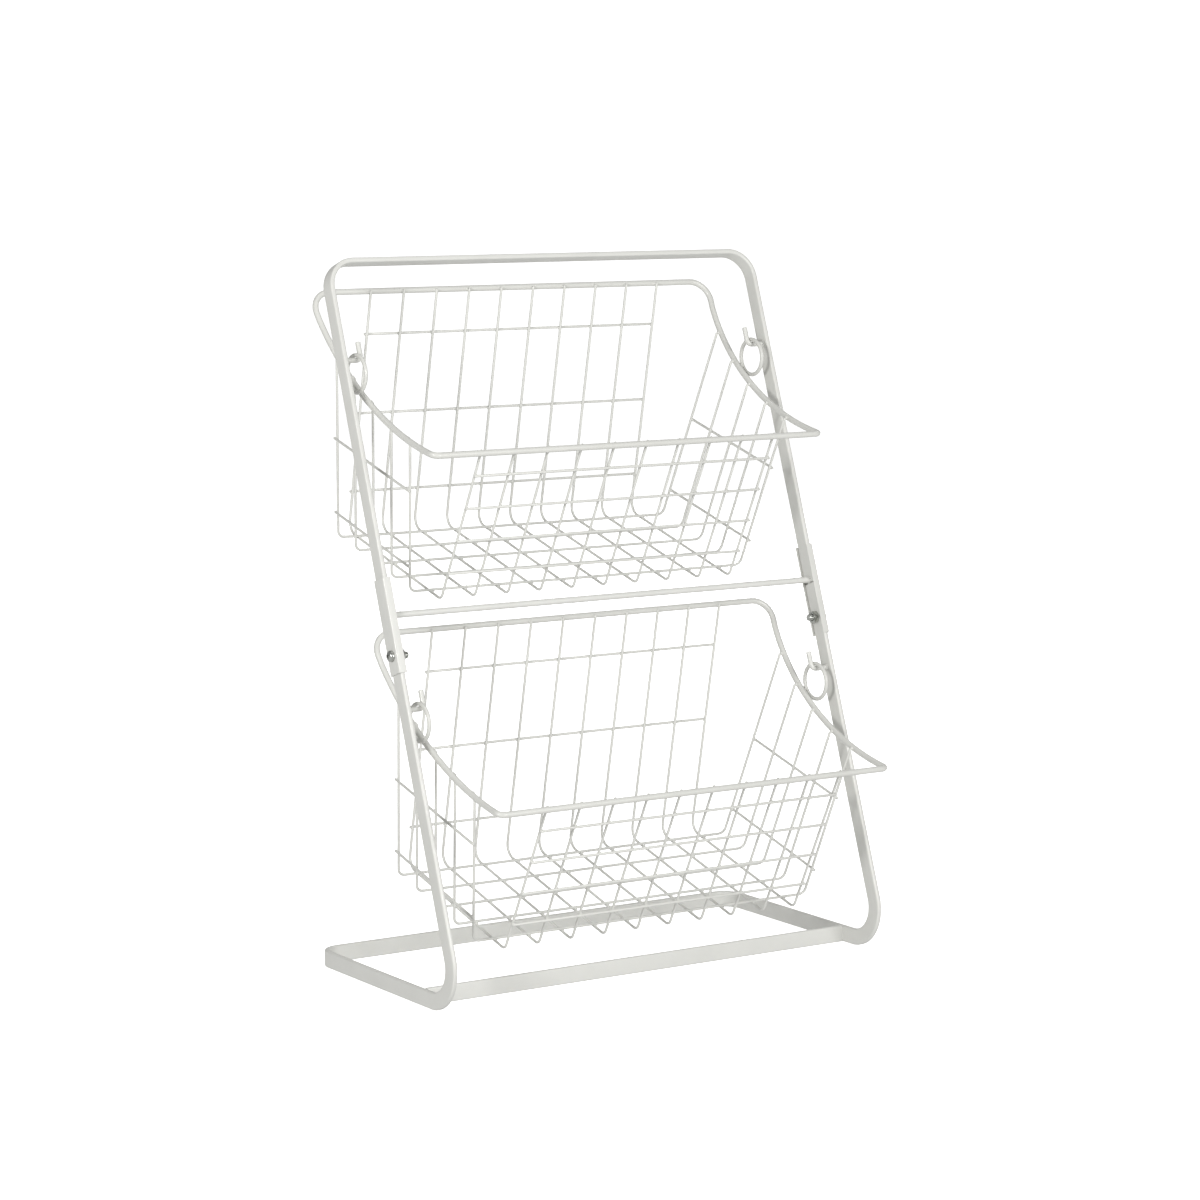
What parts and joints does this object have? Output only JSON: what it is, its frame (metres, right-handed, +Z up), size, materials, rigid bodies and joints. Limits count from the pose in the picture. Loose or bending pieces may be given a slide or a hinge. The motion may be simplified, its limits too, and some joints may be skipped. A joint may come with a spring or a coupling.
{
  "type": "two-tier vegetable basket",
  "caption": "Free-standing two-tier wire basket rack: a leaning flat-bar stand with two open-front wire baskets that hang by rings from hooks and swing.",
  "frame": {"origin": "on the floor, under the middle of the front base bar, midway between the two legs", "axes": "+X to the right as seen from the open front, +Y to the rear, +Z up"},
  "size_m": [0.461, 0.3353, 0.6234],
  "materials": {
    "stand_coat": "warm off-white satin powder coat on steel flat bar, round bar and folded sheet",
    "basket_coat": "warm off-white satin powder coat on welded steel wire",
    "zinc_plate": "bright zinc plate on the screws and nuts"
  },
  "bodies": {
    "stand": {"upper_frame": "stand_coat", "lower_frame": "stand_coat", "front_bar": "stand_coat", "left_channel": "stand_coat", "left_nut": "zinc_plate", "left_screw": "zinc_plate", "right_channel": "stand_coat", "right_nut": "zinc_plate", "right_screw": "zinc_plate", "crossbar": "stand_coat", "upper_left_hook": "stand_coat", "lower_left_hook": "stand_coat", "upper_right_hook": "stand_coat", "lower_right_hook": "stand_coat"},
    "upper_basket": {"upper_rim": "basket_coat", "upper_cross_wires": "basket_coat", "upper_long_wire_1": "basket_coat", "upper_long_wire_2": "basket_coat", "upper_long_wire_3": "basket_coat", "upper_long_wire_4": "basket_coat", "upper_long_wire_5": "basket_coat", "upper_long_wire_6": "basket_coat", "upper_long_wire_7": "basket_coat", "upper_long_wire_8": "basket_coat", "upper_long_wire_9": "basket_coat", "upper_long_wire_10": "basket_coat", "upper_back_rail_1": "basket_coat", "upper_back_rail_2": "basket_coat", "upper_back_rail_3": "basket_coat", "upper_front_rail_1": "basket_coat", "upper_front_rail_2": "basket_coat", "upper_front_rail_3": "basket_coat", "upper_front_rail_4": "basket_coat", "upper_left_ring": "basket_coat", "upper_right_ring": "basket_coat"},
    "lower_basket": {"lower_rim": "basket_coat", "lower_cross_wires": "basket_coat", "lower_long_wire_1": "basket_coat", "lower_long_wire_2": "basket_coat", "lower_long_wire_3": "basket_coat", "lower_long_wire_4": "basket_coat", "lower_long_wire_5": "basket_coat", "lower_long_wire_6": "basket_coat", "lower_long_wire_7": "basket_coat", "lower_long_wire_8": "basket_coat", "lower_long_wire_9": "basket_coat", "lower_long_wire_10": "basket_coat", "lower_back_rail_1": "basket_coat", "lower_back_rail_2": "basket_coat", "lower_back_rail_3": "basket_coat", "lower_front_rail_1": "basket_coat", "lower_front_rail_2": "basket_coat", "lower_front_rail_3": "basket_coat", "lower_front_rail_4": "basket_coat", "lower_left_ring": "basket_coat", "lower_right_ring": "basket_coat"}
  },
  "joints": [
    {"name": "upper_basket_swing", "type": "hinge", "parent": "stand", "child": "upper_basket", "pos_m": [0, 0.13201, 0.53687], "axis": [1, 0, 0], "range_deg": [-30, 28]},
    {"name": "lower_basket_swing", "type": "hinge", "parent": "stand", "child": "lower_basket", "pos_m": [0, 0.02832, 0.24886], "axis": [1, 0, 0], "range_deg": [-30, 34]}
  ]
}
